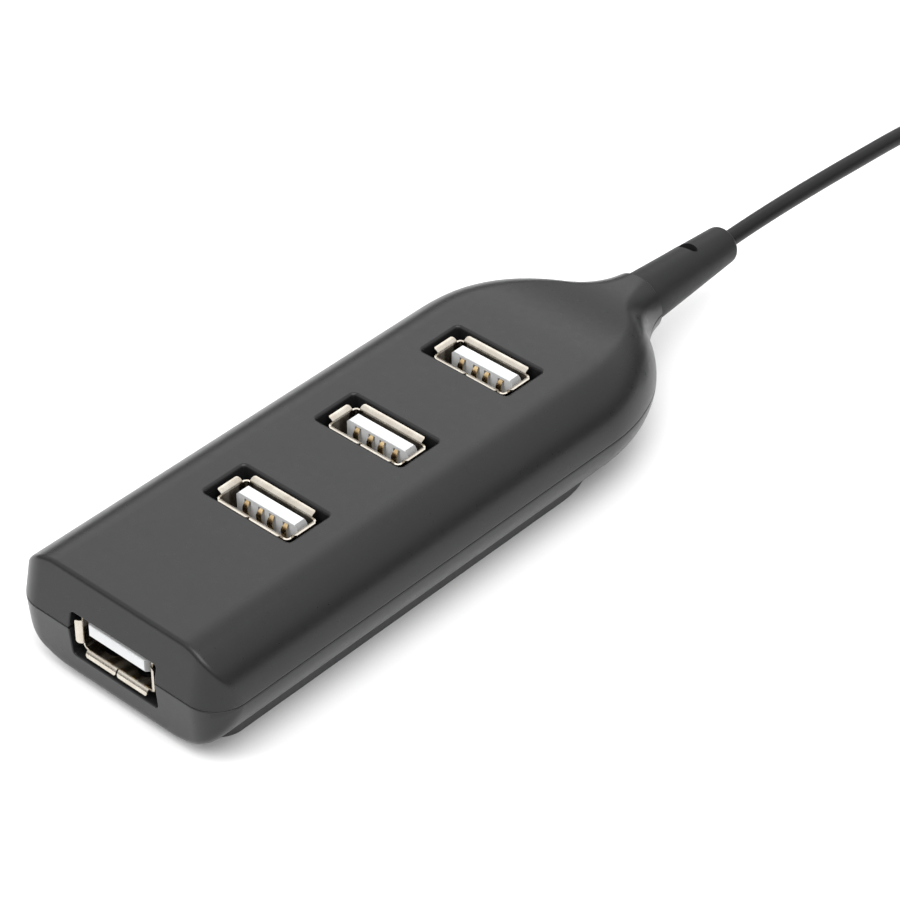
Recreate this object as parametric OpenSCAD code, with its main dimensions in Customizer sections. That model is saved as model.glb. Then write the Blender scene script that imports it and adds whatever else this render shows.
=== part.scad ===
// Four-port USB hub: paddle-shaped housing with three sockets on top, one in
// the front end face, and a captive cable that ends in a USB-A plug.
// X is the width, +Y points to the cable end, Z is up. The hub stands on z = 0.

/* [Housing] */
// Width of the housing at the parting line
body_w = 37.8; // [35:0.1:42]
// Length from the front face to the start of the round end
straight_len = 75.9; // [75:0.1:78]
// Length of the round end, before the hollow of the neck cuts it off
end_len = 22.4; // [20:0.1:24]
// Height of the top shell above the parting line
top_h = 7.9; // [7:0.1:9]
// Depth of the bottom shell below the parting line
low_h = 8.5; // [8:0.1:10]
// Height of the foot that stands below the bottom shell
foot_h = 1.0; // [0.6:0.1:1.5]
// Width of the rounded shoulder of the top shell
top_shoulder = 7.6; // [6:0.1:8]
// Width of the rounded side of the bottom shell
low_shoulder = 9.8; // [8:0.1:11]
// Radius of the two front corners, seen from above
front_corner_r = 5.0; // [3:0.1:7]
// How far the top of the front face leans back
front_lean_top = 1.7; // [0:0.1:2]
// How far the bottom of the front face leans back
front_lean_low = 0.8; // [0:0.1:1.5]
// Wall thickness of both shells
wall = 1.6; // [1.2:0.1:2]

/* [Neck and strain relief] */
// Length from the front face to the end of the neck
neck_end_len = 103.7; // [102:0.1:108]
// Radius of the neck where the strain relief comes out
neck_r = 4.4; // [4.2:0.1:5]
// Angle along the round end where the hollow into the neck begins
hollow_start = 57.4; // [54:0.2:60]
// Length over which the top and the underside sink to the neck
neck_fall = 24; // [20:0.5:26]
// Length from the front face to the end of the strain relief
overall_len = 123.6; // [118:0.1:130]
// Radius of the strain relief at the neck
relief_r = 4.05; // [3.5:0.05:4.5]
// Radius of the strain relief at the cable end
relief_tip_r = 2.9; // [2.4:0.05:3.4]

/* [Sockets] */
// Distance from the front face to the first socket on top
first_socket = 28.2; // [27:0.1:30]
// Distance between neighbouring sockets on top
socket_pitch = 20.9; // [18:0.1:22]
// Length of the recess around a socket
recess_l = 15.6; // [15:0.1:17]
// Width of the recess around a socket
recess_w = 7.5; // [7.4:0.1:8.5]
// Height of the recess in the front face
front_recess_h = 7.1; // [7:0.1:7.5]
// Height of the front socket's middle above the table
front_socket_z = 9.1; // [8.9:0.1:9.6]
// Depth of a socket's mouth below the housing surface
mouth_depth = 0.8; // [0.6:0.1:1.2]

/* [Cable] */
// Diameter of the cable
cable_d = 2.6; // [2.4:0.1:3.2]
// Diameter of the coil at the middle of its turns
coil_d = 29; // [28:0.5:30]

/* [Hidden] */
$fn = 48;

// Heights and places along the housing
z_part = foot_h + low_h;
z_top = z_part + top_h;
half_w = body_w / 2;
y_front = -overall_len / 2;
y_round = y_front + straight_len;
y_neck = y_front + neck_end_len;
y_tip = y_front + overall_len;
socket_y = [for (i = [0:2]) y_front + first_socket + i * socket_pitch];

// Foot outline
foot_inset = 4.3;
foot_w = body_w - 2 * foot_inset;
foot_rear_back = 5.2;
foot_corner_r = 4;

// USB-A socket, standard opening 12.5 x 5.12 around an 11.1 x 1.84 tongue
usb_open_l = 12.5;
usb_open_w = 5.12;
usb_sheet = 0.3;
usb_out_l = usb_open_l + 2 * usb_sheet;
usb_out_w = usb_open_w + 2 * usb_sheet;
tongue_l = 11.1;
tongue_t = 1.84;
tongue_gap = 0.7;
tongue_chamfer = 0.5;
tongue_set = 0.15;
contact_x = [-3.5, -1.0, 1.0, 3.5];
contact_w = 1.0;
contact_t = 0.2;
base_t = 1.2;
contact_set = 0.5;
lip_out = 0.8;
lip_rise = 0.2;
lip_long = 11.2;
lip_short = 3.8;
seam_gap = 0.5;
window_x = 3;
window_w = 2.3;
window_top = 1.4;
window_h = 4.8;
finger_w = 1.4;
stand_back = 5;
play = 0.1;
tail_l = 2.1;
tail_reach = 1.5;
rear_plate_t = 1.0;
tail_hole_r = 0.6;

// Circuit board
board_t = 1.2;
board_z = 2.9;
board_top = board_z + board_t;
board_half_w = 11.2;
collar_y = y_front + 5;
board_front = collar_y + 0.2;
board_rear = y_round + 6;
pocket_z = 1.5;
pocket_w = 21;
peg_r = 1.0;
peg_places = [
    [-9, socket_y[0] - 9], [9, socket_y[0] - 9],
    [-8.5, socket_y[2] + 9], [8.5, socket_y[2] + 9]
];

top_rim = z_top - mouth_depth;
top_depth = top_rim - board_top;
front_rim = y_front + mouth_depth + 0.1;
front_depth = 13;
front_recess_z = front_socket_z - 0.6;
front_stand = front_socket_z - usb_out_w / 2 - board_top;
rim_lip_h = 1.0;
rim_lip_t = 0.7;

// Cable route behind the strain relief: leaves straight, sinks to the table
cable_r = cable_d / 2;
cable_route = [
    [0, 59.8, 9.5], [0, 66, 9.6], [0, 75, 9.4], [0, 85, 8.9], [0, 95, 8.2], [0, 105, 7.4],
    [0, 114, 6.2], [0, 122, 4.8], [0, 129, 3.3], [0, 136, 1.9], [0, 142, 1.35], [0, 147, 1.3]
];
cable_tail = [
    [29, 150, 15.6], [29, 147, 15.5], [29, 142, 14.4], [29, 137, 12], [29, 132, 9],
    [29, 127, 6.3], [29, 122.5, 4.7], [29, 119, 4.1], [29, 116, 4]
];
cable_sides = 8;
coil_x = 14.5;
coil_y = 152;
coil_turns = 5.5;
coil_h = (coil_turns + 1) * cable_d;
tie_w = 4;
tie_t = 0.7;

// Plug, lying flat beside the coil
plug_x = 29;
plug_y = 92;
plug_z = 4.0;
plug_body_l = 21;
plug_body_w = 15.5;
plug_body_h = 8;
plug_shell_l = 12;
plug_shell_w = 12;
plug_shell_h = 4.5;

// Seen from above the round end is half an ellipse. At hollow_start it runs
// into a hollow arc that ends level with the neck.
meet_x = half_w * cos(hollow_start);
meet_y = y_round + end_len * sin(hollow_start);
meet_normal = [cos(hollow_start) / half_w, sin(hollow_start) / end_len];
meet_dir = meet_normal / norm(meet_normal);
hollow_r = (meet_x - neck_r) / (1 - meet_dir[0]);
hollow_y = meet_y + hollow_r * meet_dir[1];
function plan_half(y) =
    y <= y_round ? half_w
    : y < meet_y ? half_w * sqrt(1 - ((y - y_round) / end_len) ^ 2)
    : y < hollow_y ? neck_r + hollow_r - sqrt(hollow_r ^ 2 - (hollow_y - y) ^ 2)
    : neck_r;

// A size that holds along the housing and sinks smoothly to the neck radius
function sunk(y, size) =
    let(t = max(0, min(1, (y - y_neck + neck_fall) / neck_fall)))
    neck_r + (size - neck_r) * (1 + cos(180 * t)) / 2;
function flat_half(y, shoulder) = max(0.2, plan_half(y) - sunk(y, shoulder));

// Places of the cross-sections: the straight run, the round end, the neck
end_steps = 8;
neck_steps = 12;
housing_ys = concat(
    [y_front - 1, y_round],
    [for (i = [1:end_steps]) y_round + end_len * sin(i * hollow_start / end_steps)],
    [for (i = [1:neck_steps]) meet_y + i * (y_neck - meet_y) / neck_steps]
);

// Half of a cross-section above (up = 1) or below (up = -1) the parting line
section_step = 7.5;
function section_ring(y, inset, up) =
    let(
        h = sunk(y, up > 0 ? top_h : low_h) - inset,
        w = plan_half(y) - inset,
        f = flat_half(y, up > 0 ? top_shoulder : low_shoulder),
        right = [for (a = [0:section_step:90]) [f + (w - f) * cos(a), y, z_part + up * h * sin(a)]],
        left = [for (i = [len(right) - 1:-1:0]) [-right[i][0], y, right[i][2]]]
    )
    concat(right, left);

// Skin drawn through rings that all have the same number of points
module loft(rings) {
    n = len(rings[0]);
    last = len(rings) - 1;
    walls = [
        for (i = [0:last - 1], k = [0:n - 1])
            let(a = i * n + k, b = i * n + (k + 1) % n)
                each [[a, b, b + n], [a, b + n, a + n]]
    ];
    first_cap = [for (k = [n - 1:-1:0]) k];
    last_cap = [for (k = [0:n - 1]) last * n + k];
    polyhedron([for (r = rings) each r], concat([first_cap], walls, [last_cap]));
}

// Outline seen from above that cuts the front face and its two round corners
module front_plan(inset) {
    r = front_corner_r - inset;
    cx = half_w - front_corner_r + 0.02;
    cy = y_front + front_corner_r;
    side = body_w;
    right = [for (a = [-90:7.5:0]) [cx + r * cos(a), cy + r * sin(a)]];
    left = [for (i = [len(right) - 1:-1:0]) [-right[i][0], right[i][1]]];
    polygon(concat(
        right,
        [[side, cy + 1], [side, overall_len], [-side, overall_len], [-side, cy + 1]],
        left
    ));
}

// The same outline as a tall block whose front face leans back
module front_trim(inset, up) {
    slope = up > 0 ? front_lean_top / top_h : -front_lean_low / low_h;
    multmatrix([[1, 0, 0, 0], [0, 1, slope, 0], [0, 0, 1, z_part], [0, 0, 0, 1]])
        translate([0, 0, -2 * z_part])
            linear_extrude(4 * z_part)
                front_plan(inset);
}

// Collars inside the top shell that the recesses pass through
collar_t = 1;
collar_z = 13;
module top_collars() {
    for (y = socket_y)
        translate([0, y, collar_z])
            linear_extrude(z_top - collar_z - wall / 2)
                square([recess_l + 2 * collar_t, recess_w + 2 * collar_t], center = true);
}

// Half of the collar round the front recess
module front_collar(up) {
    h = front_recess_h / 2 + collar_t;
    z_end = front_recess_z + up * h;
    translate([-recess_l / 2 - collar_t, y_front + wall, min(z_part, z_end)])
        cube([recess_l + 2 * collar_t, collar_y - y_front - wall, abs(z_end - z_part)]);
}

// Solid half of the housing, moved in by inset on every side
module half_housing(inset, up) {
    rings = [for (y = housing_ys) section_ring(y, inset, up)];
    intersection() {
        if (up > 0)
            loft(rings);
        else
            loft([for (r = rings) [for (i = [len(r) - 1:-1:0]) r[i]]]);
        front_trim(inset, up);
    }
}

module recess_outline(l, w) {
    r = 0.5;
    hull()
        for (x = [-1, 1], y = [-1, 1])
            translate([x * (l / 2 - r), y * (w / 2 - r)])
                circle(r, $fn = 16);
}

module top_recesses() {
    for (y = socket_y)
        translate([0, y, z_part + 1])
            linear_extrude(top_h)
                recess_outline(recess_l, recess_w);
}

module front_recess() {
    translate([0, y_front - 1, front_recess_z])
        rotate([-90, 0, 0])
            linear_extrude(collar_y - y_front + 2)
                recess_outline(recess_l, front_recess_h);
}

// Plan outline of the parting face, moved in by inset
module parting_plan(inset) {
    ys = [for (y = housing_ys) if (y >= y_round) y];
    right = [for (y = ys) [plan_half(y) - inset, y]];
    intersection() {
        polygon(concat(
            [[half_w - inset, y_front - 1]], right,
            [for (i = [len(right) - 1:-1:0]) [-right[i][0], right[i][1]]],
            [[-half_w + inset, y_front - 1]]
        ));
        front_plan(inset);
    }
}

// Raised lip on the bottom shell that locates the top shell
module rim_lip(grow) {
    translate([0, 0, z_part - 0.8])
        linear_extrude(rim_lip_h + 0.8 + grow)
            difference() {
                parting_plan(wall - rim_lip_t - grow);
                parting_plan(wall + 0.25 + grow);
                translate([-half_w, y_neck - 8])
                    square([body_w, 12]);
                translate([-recess_l / 2 - 1, y_front - 1])
                    square([recess_l + 2, 6]);
            }
}

// Bore that the cable's moulded tail passes through
module neck_bore() {
    translate([0, y_flange - 5, z_part])
        rotate([-90, 0, 0])
            cylinder(r = tail_r + play, h = 20);
}

tail_r = 2.6;
flange_r = 3.9;
flange_t = 1.6;
y_flange = y_neck - 5.2;

module tail_seat() {
    neck_bore();
    translate([0, y_flange - play, z_part])
        rotate([-90, 0, 0])
            cylinder(r = flange_r - 0.3, h = flange_t + 2 * play);
}

module top_shell() {
    color([0.10, 0.10, 0.105])
        difference() {
            half_housing(0, 1);
            difference() {
                half_housing(wall, 1);
                neck_block(1);
                top_collars();
                front_collar(1);
            }
            top_recesses();
            front_recess();
            rim_lip(play);
            tail_seat();
        }
}

// Solid stretch of the neck that grips the moulded tail
module neck_block(up) {
    translate([-half_w, y_neck - 7, up > 0 ? z_part : foot_h])
        cube([body_w, 12, top_h]);
}

module foot_outline() {
    y0 = y_front + foot_inset;
    y1 = y_round - foot_rear_back;
    hull() {
        for (s = [-1, 1])
            translate([s * (foot_w / 2 - foot_corner_r), y0 + foot_corner_r])
                circle(foot_corner_r, $fn = 32);
        translate([0, y1])
            circle(foot_w / 2, $fn = 64);
    }
}

module bottom_shell() {
    color([0.10, 0.10, 0.105])
        difference() {
            union() {
                difference() {
                    union() {
                        half_housing(0, -1);
                        linear_extrude(foot_h + 3)
                            foot_outline();
                    }
                    difference() {
                        half_housing(wall, -1);
                        neck_block(-1);
                        front_collar(-1);
                    }
                    translate([-pocket_w / 2, y_front + 7, pocket_z])
                        cube([pocket_w, y_round - y_front - 4, wall + 1]);
                }
                rim_lip(0);
                board_pegs();
            }
            front_recess();
            tail_seat();
        }
}

// Posts under the board, each with a peg that passes through it
module board_pegs() {
    for (p = peg_places)
        translate([p[0], p[1], 0]) {
            translate([0, 0, foot_h])
                cylinder(r = peg_r + 0.9, h = board_z - foot_h);
            translate([0, 0, foot_h])
                cylinder(r = peg_r, h = board_top + 0.6 - foot_h);
        }
}

module circuit_board() {
    color([0.05, 0.32, 0.16])
        translate([0, 0, board_z])
            linear_extrude(board_t)
                difference() {
                    intersection() {
                        union() {
                            translate([-board_half_w, board_front])
                                square([2 * board_half_w, y_round - board_front]);
                            translate([0, y_round])
                                circle(board_half_w);
                        }
                        translate([-board_half_w, board_front])
                            square([2 * board_half_w, board_rear - board_front]);
                    }
                    for (p = peg_places)
                        translate(p)
                            circle(peg_r + play);
                    for (y = socket_y, x = contact_x)
                        translate([x, y + tongue_y()])
                            circle(tail_hole_r);
                    for (x = contact_x)
                        translate([x, front_rim + front_depth + tail_reach])
                            circle(tail_hole_r);
                }
}

// Places a socket drawn mouth-up at the origin, its tongue on the +Y side
module at_top_socket(i) {
    translate([0, socket_y[i], top_rim])
        children();
}

module at_front_socket() {
    translate([0, front_rim, front_socket_z])
        rotate([90, 0, 0])
            children();
}

// Folded sheet-metal can with lips bent outwards round the mouth. The housing
// covers the tongue side of the front socket, which has no lip there.
module socket_shell(depth, tongue_side_lip) {
    color([0.80, 0.77, 0.71]) {
        difference() {
            translate([-usb_out_l / 2, -usb_out_w / 2, -depth])
                cube([usb_out_l, usb_out_w, depth]);
            translate([-usb_open_l / 2, -usb_open_w / 2, -depth - 1])
                cube([usb_open_l, usb_open_w, depth + 2]);
            // windows that the shell's spring fingers are cut from
            for (x = [-window_x, window_x])
                translate([x - window_w / 2, -usb_out_w, -window_top - window_h])
                    cube([window_w, 2 * usb_out_w, window_h]);
        }
        for (s = [0, 1], x = [-window_x, window_x])
            mirror([0, s, 0])
                socket_finger(x);
        if (tongue_side_lip)
            socket_lip(usb_out_w / 2, lip_long);
        // the sheet's seam parts the lip on the open side
        for (s = [-1, 1])
            translate([s * (lip_long + seam_gap) / 4, 0, 0])
                mirror([0, 1, 0])
                    socket_lip(usb_out_w / 2, (lip_long - seam_gap) / 2);
        for (s = [0, 1])
            mirror([s, 0, 0])
                rotate([0, 0, -90])
                    socket_lip(usb_out_l / 2, lip_short);
    }
}

module socket_lip(out, l) {
    translate([-l / 2, 0, 0])
        rotate([90, 0, 90])
            linear_extrude(l)
                polygon([
                    [out - usb_sheet, -0.3], [out, -0.3], [out + 0.15, -0.1],
                    [out + lip_out, lip_rise - 0.15], [out + lip_out, lip_rise + 0.1],
                    [out, 0.12], [out - usb_sheet, 0]
                ]);
}

// Spring finger that presses on the plug's shell
module socket_finger(x) {
    translate([x - finger_w / 2, 0, -window_top - window_h - play])
        rotate([90, 0, 90])
            linear_extrude(finger_w)
                polygon([
                    [usb_out_w / 2, 0], [usb_out_w / 2, 0.8], [usb_out_w / 2 - 0.45, 2.8],
                    [usb_out_w / 2 - 0.25, 3.8], [usb_out_w / 2 - 0.5, 3.8],
                    [usb_out_w / 2 - 0.75, 2.8], [usb_out_w / 2 - usb_sheet, 0.7],
                    [usb_out_w / 2 - usb_sheet, 0]
                ]);
}

function tongue_y() = usb_open_w / 2 - tongue_gap - tongue_t;

module socket_insulator(depth, stand) {
    color([0.93, 0.93, 0.90])
        difference() {
            union() {
                translate([-usb_open_l / 2 + play / 2, -usb_open_w / 2 + play / 2, -depth])
                    cube([usb_open_l - play, usb_open_w - play, base_t]);
                translate([0, tongue_y(), -depth + base_t])
                    rotate([90, 0, 0])
                        mirror([0, 0, 1])
                            linear_extrude(tongue_t)
                                tongue_face(depth - base_t - tongue_set);
                if (stand > 0) {
                    translate([-usb_open_l / 2, -usb_out_w / 2 - stand, -depth - rear_plate_t])
                        cube([usb_open_l, stand - play / 2, depth + rear_plate_t - stand_back]);
                    translate([-usb_open_l / 2, -usb_out_w / 2 - stand, -depth - rear_plate_t])
                        cube([usb_open_l, usb_out_w + stand, rear_plate_t]);
                }
            }
            // slots that the contacts are pushed through
            for (x = contact_x)
                translate([x - contact_w / 2 - play / 2, tongue_y() - contact_t - play, -depth - 2])
                    cube([contact_w + play, contact_t + play, base_t + 3]);
        }
}

module tongue_face(h) {
    c = tongue_chamfer;
    polygon([
        [-tongue_l / 2, -0.2], [tongue_l / 2, -0.2], [tongue_l / 2, h - c],
        [tongue_l / 2 - c, h], [-tongue_l / 2 + c, h], [-tongue_l / 2, h - c]
    ]);
}

// Four springs on the tongue's open face, each with a rounded bump and a tail
module socket_contacts(depth, bent) {
    color([0.85, 0.66, 0.32])
        for (x = contact_x)
            translate([x - contact_w / 2, 0, 0])
                rotate([90, 0, 90])
                    linear_extrude(contact_w)
                        contact_side(depth, bent);
}

module contact_side(depth, bent) {
    y = tongue_y() - play / 2;
    z = -contact_set;
    z_end = -depth - (bent ? tail_reach : tail_l);
    polygon([
        [y, z], [y - 0.35, z - 0.5], [y - 0.75, z - 1.4], [y - 0.35, z - 3.2], [y - contact_t, z - 4.2],
        [y - contact_t, z_end], [y, z_end],
        [y, z - 4.1], [y - 0.15, z - 3.2], [y - 0.52, z - 1.4], [y - 0.15, z - 0.6]
    ]);
    if (bent)
        translate([-front_socket_z + board_top - tail_l, -depth - tail_reach - contact_t / 2])
            square([front_socket_z - board_top + tail_l + y, contact_t]);
}

module hub_chip() {
    color([0.06, 0.06, 0.065])
        translate([-2, socket_y[1] + 7, board_top + 0.15])
            cube([4, 6.2, 1.5]);
}

chip_pins = 8;
module hub_chip_leads() {
    color([0.75, 0.75, 0.76])
        for (s = [0, 1], i = [0:chip_pins - 1])
            mirror([s, 0, 0])
                translate([2, socket_y[1] + 7.6 + i * 0.7, board_top])
                    rotate([90, 0, 0])
                        linear_extrude(0.3)
                            polygon([
                                [0, 0.8], [0.45, 0.8], [0.6, 0.2], [1.1, 0.2],
                                [1.1, 0], [0.45, 0], [0.3, 0.6], [0, 0.6]
                            ]);
}

module crystal() {
    color([0.78, 0.78, 0.77])
        translate([8.4, socket_y[1] + 10, board_top])
            union() {
                can(11, 4.4, 3.2);
                can(11.6, 5.0, 0.4);
            }
}

// Flat metal can with round ends, standing on the board along Y
module can(l, w, h) {
    translate([-w / 2, -(l - w) / 2, 0])
        cube([w, l - w, h]);
    for (s = [-1, 1])
        translate([0, s * (l - w) / 2, 0])
            cylinder(d = w, h = h);
}

module bulk_capacitor() {
    color([0.10, 0.12, 0.30])
        translate([-8.4, socket_y[1] + 10, board_top])
            rotate_extrude()
                polygon([
                    [0, 0], [2.5, 0], [2.5, 0.8], [2.35, 1.1], [2.5, 1.4],
                    [2.5, 7.2], [2.2, 7.5], [0, 7.5]
                ]);
}

capacitor_places = [
    [-5.4, socket_y[0] + 10.2], [5.4, socket_y[0] + 10.2],
    [-4.2, socket_y[1] + 5.4], [4.6, socket_y[1] + 15], [0, socket_y[2] + 6.5]
];
resistor_places = [
    [-3, socket_y[0] + 10.2], [3, socket_y[0] + 10.2],
    [-4.6, socket_y[1] + 15], [-3, socket_y[2] + 6.5], [3, socket_y[2] + 6.5]
];

module chip_part(p, l, w, h) {
    translate([p[0] - w / 2, p[1] - l / 2, board_top])
        cube([w, l, h]);
}

module ceramic_capacitors() {
    color([0.62, 0.50, 0.36])
        for (p = capacitor_places)
            chip_part(p, 1.6, 0.8, 0.8);
}

module chip_resistors() {
    color([0.09, 0.09, 0.10])
        for (p = resistor_places)
            chip_part(p, 1.6, 0.8, 0.45);
}

// One cable wire from the tail of the moulding to its pad on the board
wire_d = 0.9;
wire_pitch = 2.0;
y_tail = y_flange - 3;
y_pads = y_round + 4.4;
module wire(i, tint) {
    x = (i - 1.5) * wire_pitch;
    x0 = (i - 1.5) * wire_d;
    route = [
        [x0, y_tail, z_part], [x0, y_tail - 1.5, z_part - 0.3],
        [(x + x0) / 2, y_tail - 4, z_part - 1.6], [x, y_tail - 7, z_part - 3.6],
        [x, y_pads + 2, board_top + 0.7], [x, y_pads, board_top + wire_d / 2]
    ];
    color(tint)
        tube(route, wire_d / 2, 8);
}

module wire_power() { wire(0, [0.75, 0.08, 0.07]); }
module wire_data_minus() { wire(1, [0.90, 0.90, 0.88]); }
module wire_data_plus() { wire(2, [0.08, 0.50, 0.20]); }
module wire_ground() { wire(3, [0.07, 0.07, 0.07]); }

// Tapered boot with a flange inside the neck and one flex slot on top
slot_l = 3.4;
slot_w = 1.5;
slot_d = 0.9;
module strain_relief() {
    y_slot = y_neck + 11.8;
    slot_z = z_part + relief_r - (relief_r - relief_tip_r) * 11.8 / (y_tip - y_neck);
    tip = y_tip - y_neck;
    color([0.09, 0.09, 0.095])
        difference() {
            translate([0, y_neck, z_part])
                rotate([-90, 0, 0])
                    rotate_extrude()
                        polygon([
                            [cable_r, tip], [cable_r, tip - 2], [0, tip - 2], [0, y_tail - y_neck],
                            [tail_r, y_tail - y_neck], [tail_r, y_flange - y_neck],
                            [flange_r - 0.4, y_flange - y_neck],
                            [flange_r - 0.4, y_flange + flange_t - y_neck],
                            [tail_r, y_flange + flange_t - y_neck], [tail_r, 0.05],
                            [relief_r, 0.05], [relief_tip_r + 0.05, tip - 0.8],
                            [relief_tip_r - 0.5, tip - 0.15], [relief_tip_r - 0.9, tip]
                        ]);
            translate([-slot_l / 2, y_slot - slot_w / 2, slot_z - slot_d])
                cube([slot_l, slot_w, 2 * slot_d]);
        }
}

// Tube swept along a route, with a ring of points square to it at each place
function unit(v) = v / norm(v);
function heading(p, i) = unit(p[min(i + 1, len(p) - 1)] - p[max(i - 1, 0)]);
function ring(c, d, r, n) =
    let(side = unit(cross(d, [0, 0, 1])), up = cross(side, d))
    [for (k = [0:n - 1]) c + r * (cos(360 * k / n) * side + sin(360 * k / n) * up)];

module tube(route, r, n) {
    count = len(route);
    points = [for (i = [0:count - 1]) each ring(route[i], heading(route, i), r, n)];
    walls = [for (i = [0:count - 2], k = [0:n - 1])
        [i * n + k, i * n + (k + 1) % n, (i + 1) * n + (k + 1) % n, (i + 1) * n + k]];
    first_cap = [for (k = [n - 1:-1:0]) k];
    last_cap = [for (k = [0:n - 1]) (count - 1) * n + k];
    polyhedron(points, concat([first_cap], walls, [last_cap]));
}

// Points on a smooth curve through a route
function curve_point(a, b, c, d, t) =
    0.5 * (2 * b + (c - a) * t + (2 * a - 5 * b + 4 * c - d) * t ^ 2 + (3 * b - a - 3 * c + d) * t ^ 3);
function smooth_route(p, steps) = [
    for (i = [0:len(p) - 2], s = [0:steps - 1])
        curve_point(p[max(i - 1, 0)], p[i], p[i + 1], p[min(i + 2, len(p) - 1)], s / steps),
    p[len(p) - 1]
];

module cable() {
    color([0.07, 0.07, 0.075]) {
        tube(smooth_route(cable_route, 2), cable_r, cable_sides);
        tube(smooth_route(cable_tail, 2), cable_r, cable_sides);
    }
}

// Space that the wound turns fill, one above the other
module cable_coil() {
    color([0.07, 0.07, 0.075])
        translate([coil_x, coil_y, 0])
            rotate_extrude()
                translate([coil_d / 2 - cable_r, 0])
                    square([cable_d, coil_h]);
}

// Strap that closes over the turns on the side away from the hub
module coil_tie() {
    color([0.12, 0.12, 0.12])
        translate([coil_x, coil_y + coil_d / 2 - 0.1, 0])
            difference() {
                translate([-tie_w / 2, -cable_r - tie_t - 0.1, 0])
                    cube([tie_w, cable_d + 2 * tie_t + 0.2, coil_h + tie_t]);
                translate([-tie_w, -cable_r - 0.1, -1])
                    cube([2 * tie_w, cable_d + 0.2, coil_h + 1]);
            }
}

// Plug pieces, drawn with the plug pointing along -Y and its middle at the origin
module at_plug() {
    translate([plug_x, plug_y, plug_z])
        children();
}

module plug_overmould() {
    color([0.09, 0.09, 0.095])
        at_plug()
            difference() {
                union() {
                    translate([-plug_body_w / 2, 0, -plug_body_h / 2])
                        cube([plug_body_w, plug_body_l, plug_body_h]);
                    translate([0, plug_body_l - 0.1, 0])
                        rotate([-90, 0, 0])
                            cylinder(r1 = 3, r2 = 2.2, h = 8);
                }
                translate([0, plug_body_l - 2, 0])
                    rotate([-90, 0, 0])
                        cylinder(r = cable_r, h = 20);
                translate([-plug_shell_w / 2, -1, -plug_shell_h / 2])
                    cube([plug_shell_w, 7, plug_shell_h]);
            }
}

module plug_shell() {
    color([0.80, 0.80, 0.80])
        at_plug()
            difference() {
                translate([-plug_shell_w / 2, -plug_shell_l, -plug_shell_h / 2])
                    cube([plug_shell_w, plug_shell_l + 6, plug_shell_h]);
                translate([-plug_shell_w / 2 + usb_sheet, -plug_shell_l - 1, -plug_shell_h / 2 + usb_sheet])
                    cube([plug_shell_w - 2 * usb_sheet, plug_shell_l + 8, plug_shell_h - 2 * usb_sheet]);
                for (x = [-3, 3], s = [-1, 1])
                    translate([x - 1.1, -plug_shell_l / 2 - 1.1, s * plug_shell_h / 2 - 0.5])
                        cube([2.2, 2.2, 1]);
            }
}

module plug_insulator() {
    color([0.93, 0.93, 0.90])
        at_plug()
            translate([-plug_shell_w / 2 + usb_sheet, -plug_shell_l + 0.4, -plug_shell_h / 2 + usb_sheet])
                cube([plug_shell_w - 2 * usb_sheet, plug_shell_l + 5, 1.9]);
}

module plug_contacts() {
    color([0.85, 0.66, 0.32])
        at_plug()
            for (x = contact_x)
                translate([x - contact_w / 2, -plug_shell_l + 1.4, -plug_shell_h / 2 + usb_sheet + 1.9])
                    cube([contact_w, 8, 0.2]);
}

module socket_shell_1() { at_top_socket(0) socket_shell(top_depth, true); }
module socket_shell_2() { at_top_socket(1) socket_shell(top_depth, true); }
module socket_shell_3() { at_top_socket(2) socket_shell(top_depth, true); }
module socket_shell_front() { at_front_socket() socket_shell(front_depth, false); }
module socket_insulator_1() { at_top_socket(0) socket_insulator(top_depth, 0); }
module socket_insulator_2() { at_top_socket(1) socket_insulator(top_depth, 0); }
module socket_insulator_3() { at_top_socket(2) socket_insulator(top_depth, 0); }
module socket_insulator_front() { at_front_socket() socket_insulator(front_depth, front_stand); }
module socket_contacts_1() { at_top_socket(0) socket_contacts(top_depth, false); }
module socket_contacts_2() { at_top_socket(1) socket_contacts(top_depth, false); }
module socket_contacts_3() { at_top_socket(2) socket_contacts(top_depth, false); }
module socket_contacts_front() { at_front_socket() socket_contacts(front_depth, true); }

top_shell();
bottom_shell();
circuit_board();
socket_shell_1();
socket_shell_2();
socket_shell_3();
socket_shell_front();
socket_insulator_1();
socket_insulator_2();
socket_insulator_3();
socket_insulator_front();
socket_contacts_1();
socket_contacts_2();
socket_contacts_3();
socket_contacts_front();
hub_chip();
hub_chip_leads();
crystal();
bulk_capacitor();
ceramic_capacitors();
chip_resistors();
wire_power();
wire_data_minus();
wire_data_plus();
wire_ground();
strain_relief();
cable();
cable_coil();
coil_tie();
plug_overmould();
plug_shell();
plug_insulator();
plug_contacts();
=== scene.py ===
"""USB hub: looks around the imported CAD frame.

Lengths are in millimetres and are scaled by MM where they enter Blender. Only the studio is in
metres. X runs across the hub, Y from the front face to the cord, Z up.
"""
import math

import bmesh
import bpy
from mathutils import Matrix, Vector
from mathutils.geometry import delaunay_2d_cdt


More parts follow.
